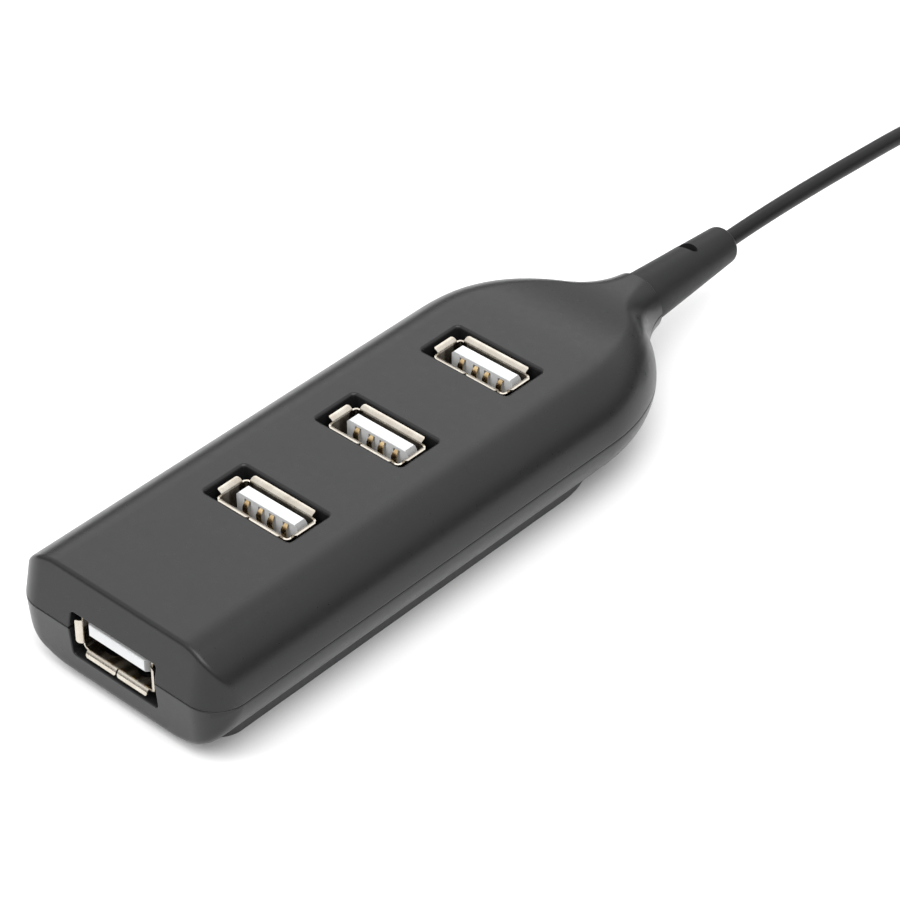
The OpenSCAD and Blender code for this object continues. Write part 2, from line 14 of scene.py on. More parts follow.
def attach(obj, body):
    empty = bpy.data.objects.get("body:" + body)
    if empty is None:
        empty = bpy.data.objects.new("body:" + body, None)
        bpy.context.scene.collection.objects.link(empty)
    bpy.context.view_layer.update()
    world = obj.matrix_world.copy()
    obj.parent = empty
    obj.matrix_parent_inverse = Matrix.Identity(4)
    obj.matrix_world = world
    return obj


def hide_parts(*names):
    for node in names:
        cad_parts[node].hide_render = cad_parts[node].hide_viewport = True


MM = 0.001
BODY = "hub"
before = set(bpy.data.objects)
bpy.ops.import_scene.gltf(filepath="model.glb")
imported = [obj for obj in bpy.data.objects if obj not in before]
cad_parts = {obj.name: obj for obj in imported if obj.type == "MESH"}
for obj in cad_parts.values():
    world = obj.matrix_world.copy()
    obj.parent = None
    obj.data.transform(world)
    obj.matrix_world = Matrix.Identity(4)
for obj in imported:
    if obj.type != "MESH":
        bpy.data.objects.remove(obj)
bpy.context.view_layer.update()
scene = bpy.context.scene

# ---------------------------------------------------------------- camera
# fitted to the photo's outlines and sockets
AZIMUTH = math.radians(42.239)
ELEVATION = math.radians(38.037)
AIM = Vector((0, -33.6, 17.4))
DISTANCE, SHIFT_RIGHT, SHIFT_UP = 439.93, 23.77, 6.81
LENS, SENSOR = 136.08, 36
back = Vector((
    math.sin(AZIMUTH) * math.cos(ELEVATION),
    -math.cos(AZIMUTH) * math.cos(ELEVATION),
    math.sin(ELEVATION),
))
right = Vector((math.cos(AZIMUTH), math.sin(AZIMUTH), 0))
upward = back.cross(right)
camera_data = bpy.data.cameras.new("camera")
camera_data.lens = LENS
camera_data.sensor_width = SENSOR
camera_data.clip_start = 0.01
camera_data.clip_end = 20
camera = bpy.data.objects.new("camera", camera_data)
place = (AIM + back * DISTANCE + right * SHIFT_RIGHT + upward * SHIFT_UP) * MM
turn = Matrix((right, upward, back)).transposed()
camera.matrix_world = Matrix.Translation(place) @ turn.to_4x4()
scene.collection.objects.link(camera)
scene.camera = camera


# ---------------------------------------------------------------- materials
def material(name):
    """A new material with its nodes, links and shader."""
    m = bpy.data.materials.new(name)
    m.use_nodes = True
    nodes, links = m.node_tree.nodes, m.node_tree.links
    return m, nodes, links, nodes["Principled BSDF"]


def noise(nodes, links, coords, scale, detail, rough=0.5):
    n = nodes.new("ShaderNodeTexNoise")
    n.inputs["Scale"].default_value = scale
    n.inputs["Detail"].default_value = detail
    n.inputs["Roughness"].default_value = rough
    links.new(coords, n.inputs["Vector"])
    return n.outputs["Fac"]


def ramp(nodes, links, source, low, high, a, b, shape="LINEAR"):
    """A value that goes from a to b while the source goes from low to high."""
    n = nodes.new("ShaderNodeMapRange")
    n.interpolation_type = shape
    for label, value in (("From Min", low), ("From Max", high), ("To Min", a), ("To Max", b)):
        n.inputs[label].default_value = value
    links.new(source, n.inputs["Value"])
    return n.outputs["Result"]


def colours(nodes, links, source, low, dark, high, light):
    """A colour that goes from dark to light while the source goes from low to high."""
    n = nodes.new("ShaderNodeValToRGB")
    stops = n.color_ramp.elements
    stops[0].position, stops[0].color = low, (*dark, 1)
    stops[1].position, stops[1].color = high, (*light, 1)
    links.new(source, n.inputs["Fac"])
    return n.outputs["Color"]


def bump(nodes, links, height, distance):
    n = nodes.new("ShaderNodeBump")
    n.inputs["Distance"].default_value = distance
    n.inputs["Strength"].default_value = 1.0
    links.new(height, n.inputs["Height"])
    return n.outputs["Normal"]


def object_coords(nodes):
    return nodes.new("ShaderNodeTexCoord").outputs["Object"]


def moulded(name, dark, light, rough, grain, grain_scale=5000, specular=0.5):
    """Moulded plastic: fine spark-eroded grain, slow drift of colour, uneven gloss."""
    m, nodes, links, shader = material(name)
    co = object_coords(nodes)
    drift = noise(nodes, links, co, 60, 4)
    base = colours(nodes, links, drift, 0.3, dark, 0.7, light)
    links.new(base, shader.inputs["Base Color"])
    patch = noise(nodes, links, co, 900, 5, 0.6)
    gloss = ramp(nodes, links, patch, 0.3, 0.7, rough - 0.03, rough + 0.03)
    links.new(gloss, shader.inputs["Roughness"])
    fine = noise(nodes, links, co, grain_scale, 2)
    links.new(bump(nodes, links, fine, grain * MM), shader.inputs["Normal"])
    shader.inputs["Specular IOR Level"].default_value = specular
    return m


def metal(name, colour, dull, rough, scratch_axis=2, scratch=0.0015):
    """Sheet metal: faint drawn lines along one axis, tarnish in patches."""
    m, nodes, links, shader = material(name)
    co = object_coords(nodes)
    stretch = nodes.new("ShaderNodeMapping")
    scale = [900, 900, 900]
    scale[scratch_axis] = 60
    stretch.inputs["Scale"].default_value = scale
    links.new(co, stretch.inputs["Vector"])
    lines = noise(nodes, links, stretch.outputs["Vector"], 6, 4, 0.7)
    tarnish = noise(nodes, links, co, 420, 4, 0.6)
    base = colours(nodes, links, tarnish, 0.35, dull, 0.65, colour)
    links.new(base, shader.inputs["Base Color"])
    gloss = ramp(nodes, links, lines, 0.25, 0.75, rough - 0.08, rough + 0.1)
    links.new(gloss, shader.inputs["Roughness"])
    links.new(bump(nodes, links, lines, scratch * MM), shader.inputs["Normal"])
    shader.inputs["Metallic"].default_value = 1.0
    return m


def grey(level, blue=0.0005):
    """A neutral colour with a trace more blue."""
    return (level, level, level + blue)


black_plastic = moulded("black_plastic", grey(0.0095), grey(0.011), 0.3, 0.0025, 5000, 0.34)
# a lighter grey than the shells: painted light from the floor on the foot
foot_painted_light = moulded("foot_painted_light", grey(0.04, 0.001), grey(0.05, 0.001), 0.5, 0.008, 4000)
soft_black = moulded("soft_black", grey(0.009), grey(0.013), 0.48, 0.006, 6000, 0.28)
cord_black = moulded("cord_black", grey(0.006), grey(0.008), 0.42, 0.004, 5000, 0.24)
white_plastic = moulded("white_plastic", (0.55, 0.56, 0.565), (0.60, 0.61, 0.615), 0.38, 0.002)
board_green = moulded("board_green", (0.01, 0.10, 0.035), (0.015, 0.14, 0.05), 0.3, 0.002, 3000)
chip_black = moulded("chip_black", grey(0.012, 0), grey(0.02, 0), 0.6, 0.01)
sleeve_blue = moulded("sleeve_blue", (0.015, 0.02, 0.09), (0.02, 0.03, 0.12), 0.25, 0.001)
ceramic = moulded("ceramic", (0.36, 0.24, 0.13), (0.46, 0.32, 0.18), 0.55, 0.004)
steel = metal("socket_steel", (0.64, 0.60, 0.53), (0.52, 0.47, 0.40), 0.24, 2, 0.0003)
# a darker copy of the socket steel: painted shade for the deep inside of the cans
steel_painted_shade = metal(
    "socket_steel_inside", (0.34, 0.30, 0.25), (0.17, 0.14, 0.11), 0.2, 2, 0.0008
)
plug_steel = metal("plug_steel", (0.56, 0.56, 0.57), (0.44, 0.44, 0.45), 0.26, 1, 0.0004)
gold = metal("contact_gold", (0.74, 0.55, 0.30), (0.50, 0.36, 0.19), 0.24)
tin = metal("tin", (0.78, 0.78, 0.79), (0.60, 0.60, 0.61), 0.3)


def wire_material(name, colour):
    return moulded(name, tuple(c * 0.8 for c in colour), colour, 0.3, 0.002)


# ---------------------------------------------------------------- cord
CORD_D = 2.6
# from inside the strain relief down to the table, and from the top of the coil to the plug
CORD_ROUTE = [
    (0, 59.8, 9.5), (0, 66, 9.6), (0, 75, 9.4), (0, 85, 8.9), (0, 95, 8.2), (0, 105, 7.4),
    (0, 114, 6.2), (0, 122, 4.8), (0, 129, 3.3), (0, 136, 1.9), (0, 142, 1.35), (0, 147, 1.3),
]
CORD_TAIL = [
    (29, 147, 15.5), (29, 142, 14.4), (29, 137, 12), (29, 132, 9), (29, 127, 6.3), (29, 122.5, 4.7),
    (29, 119, 4.1), (29, 116, 4),
]
COIL_X, COIL_Y, COIL_R, COIL_TURNS = 14.5, 152, 14.5, 5.5
POINTS_PER_TURN = 36


def smooth_route(points, steps):
    """The points of a smooth curve through a route, as part.scad draws it."""
    out = []
    n = len(points)
    for i in range(n - 1):
        a, b, c, d = (Vector(points[min(max(k, 0), n - 1)]) for k in range(i - 1, i + 3))
        for s in range(steps):
            t = s / steps
            square = (2 * a - 5 * b + 4 * c - d) * t**2
            cube = (3 * b - a - 3 * c + d) * t**3
            out.append(0.5 * (2 * b + (c - a) * t + square + cube))
    out.append(Vector(points[-1]))
    return out


def coil_points():
    """The wound part of the cord, turn on turn from the table up."""
    count = int(COIL_TURNS * POINTS_PER_TURN)
    out = []
    for i in range(count + 1):
        angle = math.pi - 2 * math.pi * COIL_TURNS * i / count
        height = CORD_D / 2 + CORD_D * COIL_TURNS * i / count
        x, y = COIL_X + COIL_R * math.cos(angle), COIL_Y + COIL_R * math.sin(angle)
        out.append(Vector((x, y, height)))
    return out


def curve_piece(name, points, radius, mat):
    """A round cord along a route, closed at both ends."""
    data = bpy.data.curves.new(name, "CURVE")
    data.dimensions = "3D"
    data.bevel_depth = radius * MM
    data.bevel_resolution = 5
    data.use_fill_caps = True
    spline = data.splines.new("POLY")
    spline.points.add(len(points) - 1)
    for p, q in zip(spline.points, points):
        p.co = (*(q * MM), 1)
    spline.use_smooth = True
    obj = bpy.data.objects.new(name, data)
    scene.collection.objects.link(obj)
    data.materials.append(mat)
    return obj


cord_points = smooth_route(CORD_ROUTE, 3) + coil_points() + smooth_route(CORD_TAIL, 2)
usb_cord = curve_piece("usb_cord", cord_points, CORD_D / 2, cord_black)
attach(usb_cord, BODY)
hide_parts("cable", "cable_coil")

# ---------------------------------------------------------------- housing shape
LENGTH = 123.6
Y_FRONT = -LENGTH / 2
HALF_W = 18.9
Y_ROUND = Y_FRONT + 75.9
END_LEN = 22.4
Y_NECK = Y_FRONT + 103.7
NECK_R = 4.4
NECK_FALL = 24
HOLLOW_START = math.radians(57.4)
Z_PART = 9.5
Z_TOP = 17.4
WALL = 1.6
CORNER_R = 5.0
# the upper shell is 1 and the lower shell is -1
HEIGHT = {1: 7.9, -1: 8.5}
SHOULDER = {1: 7.6, -1: 9.8}
LEAN = {1: 1.7, -1: 0.8}
FRONT_EDGE = {1: 0.55, -1: 1.2}
INNER_EDGE = 0.02
NECK_EDGE = 0.15
GROOVE = 0.17
SOCKET_Y = [Y_FRONT + 28.2 + i * 20.9 for i in range(3)]
RECESS_L, RECESS_W, RECESS_R, RECESS_EDGE = 15.6, 7.5, 0.5, 0.45
FRONT_Z = 9.1
FRONT_RECESS_Z, FRONT_RECESS_H, FRONT_RECESS_EDGE = FRONT_Z - 0.6, 7.1, 0.18
COLLAR_T = 1.0
COLLAR_Z = 13.0
COLLAR_Y = Y_FRONT + 5
# where the parting edge of the front face has a point between the recess and the corner
FRONT_PART_X = (9.02, 8.92)

# the round end runs into a hollow arc, which runs into the neck
MEET_X = HALF_W * math.cos(HOLLOW_START)
MEET_Y = Y_ROUND + END_LEN * math.sin(HOLLOW_START)
MEET_DIR = Vector((
    math.cos(HOLLOW_START) / HALF_W, math.sin(HOLLOW_START) / END_LEN
)).normalized()
HOLLOW_R = (MEET_X - NECK_R) / (1 - MEET_DIR.x)
HOLLOW_Y = MEET_Y + HOLLOW_R * MEET_DIR.y


def plan_half(y):
    """Half the width of the outline at y."""
    if y <= Y_ROUND:
        return HALF_W
    if y < MEET_Y:
        return HALF_W * math.sqrt(1 - ((y - Y_ROUND) / END_LEN) ** 2)
    if y < HOLLOW_Y:
        return NECK_R + HOLLOW_R - math.sqrt(HOLLOW_R**2 - (HOLLOW_Y - y) ** 2)
    return NECK_R


def sunk(y, size):
    """A size of the body that falls to the neck's radius over the last stretch."""
    t = max(0, min(1, (y - Y_NECK + NECK_FALL) / NECK_FALL))
    return NECK_R + (size - NECK_R) * (1 + math.cos(math.pi * t)) / 2


def flat_half(y, up):
    """Half the width of the flat between the shoulders."""
    return max(0.2, plan_half(y) - sunk(y, SHOULDER[up]))


def inside(point, polygon):
    """Whether a point lies in a polygon, by counting the edges to its right."""
    crossings = 0
    for a, b in zip(polygon, polygon[1:] + polygon[:1]):
        if (a.y > point.y) != (b.y > point.y):
            if point.x < a.x + (b.x - a.x) * (point.y - a.y) / (b.y - a.y):
                crossings += 1
    return crossings % 2 == 1


WELD = 0.0012
SLIVER = 0.0005


class Skin:
    """Collects points and faces, then welds them into one closed mesh."""

    def __init__(self):
        self.points, self.faces, self.flat = [], [], []

    def add(self, points):
        """Adds points and returns their numbers."""
        first = len(self.points)
        self.points += [Vector(p) for p in points]
        return list(range(first, len(self.points)))

    def face(self, ids, flat=False):
        self.faces.append(ids)
        self.flat.append(flat)

    def strip(self, a, b, closed=False):
        """Four-sided faces between two rows of point numbers."""
        n = len(a)
        for i in range(n if closed else n - 1):
            j = (i + 1) % n
            self.face([a[i], a[j], b[j], b[i]])

    def rows(self, rows, closed=False):
        for a, b in zip(rows, rows[1:]):
            self.strip(a, b, closed)

    def sheet(self, outline, holes, flatten):
        """Fills a flat outline of point numbers, leaving its holes open."""
        loops = [outline] + holes
        ids = [i for loop in loops for i in loop]
        flat = [Vector(flatten(self.points[i])) for i in ids]
        edges, at = [], 0
        for loop in loops:
            n = len(loop)
            edges += [(at + i, at + (i + 1) % n) for i in range(n)]
            at += n
        _, _, faces, origin, _, _ = delaunay_2d_cdt(flat, edges, [], 1, 1e-7, True)
        at, polygons = 0, []
        for loop in loops:
            polygons.append(flat[at:at + len(loop)])
            at += len(loop)
        for f in faces:
            corner = [origin[v][0] for v in f]
            middle = sum((flat[v] for v in corner), Vector((0, 0))) / len(corner)
            if inside(middle, polygons[0]) and not any(inside(middle, p) for p in polygons[1:]):
                self.face([ids[v] for v in corner], True)

    def mesh(self, name, sharp=38):
        """The welded mesh, shaded smooth up to a sharp angle in degrees."""
        bm = bmesh.new()
        verts = [bm.verts.new(p * MM) for p in self.points]
        for ids, flat in zip(self.faces, self.flat):
            distinct = list(dict.fromkeys(ids))
            if len(distinct) < 3:
                continue
            try:
                f = bm.faces.new([verts[i] for i in distinct])
            except ValueError:
                continue
            f.smooth = not flat
        bmesh.ops.remove_doubles(bm, verts=bm.verts, dist=WELD * MM)
        bmesh.ops.dissolve_degenerate(bm, edges=bm.edges, dist=SLIVER * MM)
        open_edges = [e for e in bm.edges if len(e.link_faces) == 1]
        if open_edges:
            bmesh.ops.holes_fill(bm, edges=open_edges, sides=0)
        bmesh.ops.recalc_face_normals(bm, faces=bm.faces)
        for e in bm.edges:
            if len(e.link_faces) == 2 and e.calc_face_angle(0) > math.radians(sharp):
                e.smooth = False
        loose = [v for v in bm.verts if not v.link_faces]
        bmesh.ops.delete(bm, geom=loose, context="VERTS")
        data = bpy.data.meshes.new(name)
        bm.to_mesh(data)
        bm.free()
        return data


CORNER_STEPS = 5


def rounded_rect(l, w, r, steps=CORNER_STEPS):
    """A rounded rectangle round the origin, counter-clockwise from the +X side."""
    out = []
    for sx, sy, start in ((1, 1, 0), (-1, 1, 90), (-1, -1, 180), (1, -1, 270)):
        for i in range(steps + 1):
            a = math.radians(start + 90 * i / steps)
            out.append((sx * (l / 2 - r) + r * math.cos(a), sy * (w / 2 - r) + r * math.sin(a)))
    return out


def notch(up, offset, z_open):
    """The half of the front recess on one side of the parting line, from +X to -X."""
    l = RECESS_L / 2 + offset
    r = RECESS_R + offset
    z_end = FRONT_RECESS_Z + up * (FRONT_RECESS_H / 2 + offset)
    half = [(l, z_open)]
    for i in range(CORNER_STEPS + 1):
        a = math.radians(90 * i / CORNER_STEPS)
        half.append((l - r + r * math.cos(a), z_end - up * (r - r * math.sin(a))))
    return half + [(-x, z) for x, z in reversed(half)]


# how finely the skins are divided
SHOULDER_ANGLES = [90 * (i / 30) for i in range(31)]
FLAT_COLUMNS = 12
WALL_ROWS = [0, 0.3, 0.6, 0.85, 1]
EDGE_ROWS = [i / 6 for i in range(1, 7)]
BODY_ROWS = [0.004, 0.02, 0.1, 0.4, 0.7]
END_ROWS, NECK_ROWS = 24, 36
RECESS_EDGE_STEPS = 4


def rear_stations():
    """Places along Y of the rings over the round end, the hollow and the neck."""
    out = [Y_ROUND + END_LEN * math.sin(HOLLOW_START * (i + 1) / END_ROWS) for i in range(END_ROWS)]
    return out + [MEET_Y + (Y_NECK - MEET_Y) * (i + 1) / NECK_ROWS for i in range(NECK_ROWS)]


def recess_loop(grow):
    """Outline of a top recess, widened by grow."""
    return rounded_rect(RECESS_L + 2 * grow, RECESS_W + 2 * grow, RECESS_R + grow)


def skin(solid, up, inset):
    """One skin of a half shell, moved in by inset. Returns its open loops."""
    outer = inset == 0
    h, f = HEIGHT[up] - inset, HALF_W - SHOULDER[up]
    lift = GROOVE if outer else 0
    z0 = Z_PART + up * lift
    edge = FRONT_EDGE[up] if outer else INNER_EDGE
    slope = LEAN[up] / HEIGHT[up]
    cx, cy, cr = HALF_W - CORNER_R, Y_FRONT + CORNER_R, CORNER_R - inset

    def shoulder_point(angle, y, less=0):
        """Offset from the middle and height over the parting plane, at an angle of the shoulder."""
        hh = sunk(y, HEIGHT[up]) - inset - less
        ww = plan_half(y) - inset - less
        ff = flat_half(y, up)
        a = math.radians(angle) if angle else math.asin(lift / hh)
        return ff + (ww - ff) * math.cos(a), hh * math.sin(a)

    def ring(y, less=0):
        """Points over the whole section at y, from the right parting edge to the left one."""
        side = [shoulder_point(a, y, less) for a in SHOULDER_ANGLES]
        ff, hh = side[-1]
        flats = [(ff - 2 * ff * i / FLAT_COLUMNS, hh) for i in range(1, FLAT_COLUMNS)]
        whole = side + flats + [(-x, s) for x, s in reversed(side)]
        return [(x, y, Z_PART + up * s) for x, s in whole]

    columns = [shoulder_point(a, Y_ROUND) for a in SHOULDER_ANGLES]
    flats = [f - 2 * f * i / FLAT_COLUMNS for i in range(1, FLAT_COLUMNS)]
    front = columns + [(x, h) for x in flats] + [(-x, s) for x, s in reversed(columns)]
    n = len(columns)

    def wall_point(x, dz):
        """A point of the front face and its corners, which lean back with height."""
        y = cy - math.sqrt(max(0, cr * cr - max(0, abs(x) - cx) ** 2))
        return Vector((x, y + slope * dz, Z_PART + up * dz))

    wall_rows, edge_rows = [], []
    tops = [max(lift + (s - lift) * 0.5, s - edge) for _, s in front]
    for q in WALL_ROWS:
        row = [wall_point(x, lift + (t - lift) * q) for (x, _), t in zip(front, tops)]
        wall_rows.append(solid.add(row))
    # the edge is a curve from the wall's top over the crease to a point behind it
    backs = [
        wall_point(x, s) + Vector((0, min(edge, 1.3 * (s - t) + 0.01), 0))
        for (x, s), t in zip(front, tops)
    ]
    for q in EDGE_ROWS:
        row = []
        for (x, s), t, b in zip(front, tops, backs):
            a, c = wall_point(x, t), wall_point(x, s)
            row.append((1 - q) ** 2 * a + 2 * q * (1 - q) * c + q * q * b)
        edge_rows.append(solid.add(row))

    # walls and edge of the corners, and the edge of the flat middle
    solid.rows([r[:n] for r in wall_rows])
    solid.rows([r[-n:] for r in wall_rows])
    solid.rows([wall_rows[-1]] + edge_rows)

    # the round end and the neck, ring by ring
    stations = rear_stations()
    if outer:
        stations[-1] -= NECK_EDGE
    rear = [solid.add(ring(y)) for y in [Y_ROUND] + stations]
    if outer:
        rear.append(solid.add([(x, Y_NECK, z) for x, _, z in ring(Y_NECK, NECK_EDGE)]))
    solid.rows(rear)

    # the sides, straight back to the round end
    sides = []
    for side in (1, -1):
        start = edge_rows[-1][:n] if side > 0 else edge_rows[-1][-n:][::-1]
        rows = [start]
        for q in BODY_ROWS:
            row = []
            for i, (x, s) in enumerate(columns):
                y = solid.points[start[i]].y
                row.append((side * x, y + (Y_ROUND - y) * q, Z_PART + up * s))
            rows.append(solid.add(row))
        rows.append(rear[0][:n] if side > 0 else rear[0][-n:][::-1])
        solid.rows(rows)
        sides.append(rows)

    # the flat middle, with the recesses of the sockets
    rim = list(edge_rows[-1][n - 1:len(front) - n + 1])
    left = [r[-1] for r in sides[1][1:]]
    right_side = [r[-1] for r in sides[0][1:-1]]
    back_row = rear[0][n - 1:len(front) - n][::-1]
    outline = rim + left + back_row + right_side[::-1]
    holes = []
    if up > 0:
        grow = RECESS_EDGE if outer else COLLAR_T
        for y in SOCKET_Y:
            holes.append(solid.add([(a, y + b, Z_PART + h) for a, b in recess_loop(grow)]))
    solid.sheet(outline, holes, lambda p: (p.x, p.y))

    # the flat middle of the front face, with half of the front recess
    grow = FRONT_RECESS_EDGE if outer else COLLAR_T
    gap = [wall_point(x, up * (z - Z_PART)) for x, z in notch(up, grow, z0)]
    gap_ids = solid.add(gap)
    step_right = solid.add([wall_point(x, lift) for x in FRONT_PART_X])
    step_left = solid.add([wall_point(-x, lift) for x in FRONT_PART_X[::-1]])
    middle_left = [r[-n] for r in wall_rows]
    middle_right = [r[n - 1] for r in wall_rows]
    top = wall_rows[-1][n:len(front) - n]
    outline = [middle_right[0]] + step_right + gap_ids + step_left
    outline += middle_left + top[::-1] + middle_right[:0:-1]
    solid.sheet(outline, [], lambda p: (p.x, p.z))

    # the parting edge from the front recess to the neck, on each side
    part_right = [gap_ids[0]] + step_right[::-1] + wall_rows[0][:n][::-1]
    part_right += [r[0] for r in sides[0][1:]] + [r[0] for r in rear[1:]]
    part_left = [gap_ids[-1]] + step_left + wall_rows[0][-n:]
    part_left += [r[0] for r in sides[1][1:]] + [r[-1] for r in rear[1:]]
    return {"holes": holes, "gap": gap_ids, "parting": (part_right, part_left), "neck": rear[-1]}


def quarter_round(edge):
    """Steps over a rounded recess edge: how far out and how deep each one is."""
    for i in range(1, RECESS_EDGE_STEPS + 1):
        a = math.radians(90 * i / RECESS_EDGE_STEPS)
        yield edge * (1 - math.sin(a)), edge * (1 - math.cos(a))


def half_shell(name, up):
    """Upper or lower half of the housing: two skins joined at every opening."""
    solid = Skin()
    out = skin(solid, up, 0)
    inn = skin(solid, up, WALL)

    # parting faces with a fine groove along the outside
    for side, a, b in zip((1, -1), out["parting"], inn["parting"]):
        groove, round_in = [], []
        count = len(a)
        for i in range(count):
            p = solid.points[a[i]]
            before, after = solid.points[a[max(i - 1, 0)]], solid.points[a[min(i + 1, count - 1)]]
            along = Vector((after.x - before.x, after.y - before.y, 0))
            if along.length < 1e-6:
                along = Vector((0, 1, 0))
            along.normalize()
            inward = Vector((-along.y, along.x, 0)) * side
            bottom = p + inward * GROOVE
            bottom.z = Z_PART
            groove.append(bottom)
            bend = p + inward * GROOVE * 0.2
            bend.z = Z_PART + up * GROOVE * 0.5
            round_in.append(bend)
        r, g = solid.add(round_in), solid.add(groove)
        solid.strip(a, r)
        solid.strip(r, g)
        if len(b) == count - 1:
            b = b + [b[-1]]
        solid.strip(g, b)

    solid.strip(out["neck"], inn["neck"])

    # recess walls and collars
    if up > 0:
        for k, y in enumerate(SOCKET_Y):
            rows = [out["holes"][k]]
            for o, depth in quarter_round(RECESS_EDGE):
                rows.append(solid.add([(p, y + q, Z_TOP - depth) for p, q in recess_loop(o)]))
            for grow in (0, COLLAR_T):
                rows.append(solid.add([(p, y + q, COLLAR_Z) for p, q in recess_loop(grow)]))
            rows.append(inn["holes"][k])
            solid.rows(rows, True)

    slope = LEAN[up] / HEIGHT[up]
    rows = [out["gap"]]
    for o, depth in quarter_round(FRONT_RECESS_EDGE):
        line = notch(up, o, Z_PART + up * GROOVE)
        rows.append(solid.add([(x, Y_FRONT + slope * abs(z - Z_PART) + depth, z) for x, z in line]))
    for grow in (0, COLLAR_T):
        rows.append(solid.add([(x, COLLAR_Y, z) for x, z in notch(up, grow, Z_PART)]))
    rows.append(inn["gap"])
    solid.rows(rows)
    return solid.mesh(name, 26)


def foot_mesh(name):
    """Flat foot with rounded corners in front and a round end, up to inside the shell."""
    solid = Skin()
    half, y0, yc, r = 14.6, Y_FRONT + 4.3, Y_ROUND - 5.2, 4.0
    top, edge, edge_steps, corner_steps, end_steps = 2.5, 0.3, 4, 12, 48

    def arc(cx, cy, radius, start, sweep, steps):
        angles = [math.radians(start + sweep * i / steps) for i in range(steps + 1)]
        return [(cx + radius * math.cos(a), cy + radius * math.sin(a)) for a in angles]

    def outline(o):
        return (
            arc(half - r, y0 + r, r - o, -90, 90, corner_steps)
            + arc(0, yc, half - o, 0, 180, end_steps)
            + arc(-half + r, y0 + r, r - o, 180, 90, corner_steps)
        )

    rows = [solid.add([(x, y, top) for x, y in outline(0)])]
    for i in range(edge_steps + 1):
        a = math.radians(90 * i / edge_steps)
        loop = outline(edge - edge * math.cos(a))
        rows.append(solid.add([(x, y, edge - edge * math.sin(a)) for x, y in loop]))
    solid.rows(rows, True)
    solid.sheet(rows[0], [], lambda p: (p.x, p.y))
    solid.sheet(rows[-1], [], lambda p: (p.x, p.y))
    return solid.mesh(name)


def piece(name, data, mat, node):
    """A finished piece that rides on the hub and takes the place of a CAD node."""
    obj = bpy.data.objects.new(name, data)
    scene.collection.objects.link(obj)
    data.materials.clear()
    data.materials.append(mat)
    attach(obj, BODY)
    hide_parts(node)
    return obj


piece("top_cover", half_shell("top_cover", 1), black_plastic, "top_shell")
lower_data = half_shell("bottom_cover", -1)
shell_faces = len(lower_data.polygons)
joined = bmesh.new()
joined.from_mesh(lower_data)
joined.from_mesh(foot_mesh("foot"))
joined.to_mesh(lower_data)
joined.free()
piece("bottom_cover", lower_data, black_plastic, "bottom_shell")
# the foot takes the lighter grey, painted light from the floor
lower_data.materials.append(foot_painted_light)
for f in lower_data.polygons[shell_faces:]:
    f.material_index = 1

# ---------------------------------------------------------------- sockets
# Sockets are drawn mouth up: X along the opening, Y across it, Z = 0 at the mouth's rim.
OPEN_L, OPEN_W, SHEET = 12.5, 5.12, 0.3
OUT_L, OUT_W = OPEN_L + 2 * SHEET, OPEN_W + 2 * SHEET
SHEET_R = 0.75
TONGUE_L, TONGUE_T, TONGUE_SET, TONGUE_CHAMFER = 11.1, 1.84, 0.15, 0.5
TONGUE_Y = OPEN_W / 2 - 0.7 - TONGUE_T
CONTACT_X = (-3.5, -1.0, 1.0, 3.5)
CONTACT_T = 0.18
BOARD_TOP = 4.1
TOP_DEPTH, FRONT_DEPTH = 12.5, 13.0
MOUTH_DEPTH, FRONT_MOUTH_DEPTH = 0.8, 0.9
TOP_TAIL, FRONT_TAIL, FRONT_BEND = 2.1, 1.5, 1.45
LIP_START, LIP_END, SEAM_GAP, SHORT_LIP_END = -0.32, 5.6, 0.12, 1.9
# where the corners of a lip begin, from its end
LIP_CUTS = (0, 0.12, 0.3)
# the lip's side view: length and lean in degrees of each short run
LIP_BENDS = [
    (0.04, 12), (0.04, 25), (0.04, 38), (0.04, 48), (0.16, 52),
    (0.05, 60), (0.05, 70), (0.24, 78), (0.18, 84),
]
WINDOW_X, WINDOW_HALF, WINDOW_ARCH = 3.0, 1.15, 0.7
# heights of the rows below the lip, and those at the bottom and top of the windows
WALL_LEVELS = (-8.0, -6.2, -4.2, -2.6, -1.35, -0.75)
WINDOW_ROWS = (2, 5)
FINGER_PATH = [(2.72, -6.5), (2.70, -5.9), (2.45, -4.6), (2.22, -3.2), (2.18, -2.9), (2.30, -2.4)]
FINGER_WIDTHS, FINGER_T = [1.7, 1.6, 1.5, 1.4, 1.3, 0.9], 0.24
# steel deeper than this takes the darker copy, painted shade, apart from the fingers between these depths
PAINTED_SHADE_BELOW, FINGER_DEPTHS, FINGER_REACH = 0.45, (1, 5.5), 4


def thick_sheet(solid, outer, inner, present, closed=True):
    """Sheet of two skins on one grid of points; cells that are not present are cut out of it."""
    n, rows = len(outer[0]), len(outer) - 1
    columns = n if closed else n - 1

    def on(k, i):
        if not 0 <= k < rows or not (closed or 0 <= i < columns):
            return False
        return present(k, i % n)

    for k in range(rows):
        for i in range(columns):
            if not on(k, i):
                continue
            j = (i + 1) % n
            a, b, c, d = outer[k][i], outer[k][j], outer[k + 1][j], outer[k + 1][i]
            e, f, g, h = inner[k][i], inner[k][j], inner[k + 1][j], inner[k + 1][i]
            solid.face([a, b, c, d])
            solid.face([e, h, g, f])
            for free, quad in (
                (not on(k - 1, i), [a, e, f, b]), (not on(k + 1, i), [d, c, g, h]),
                (not on(k, i - 1), [a, d, h, e]), (not on(k, i + 1), [b, f, g, c]),
            ):
                if free:
                    solid.face(quad)


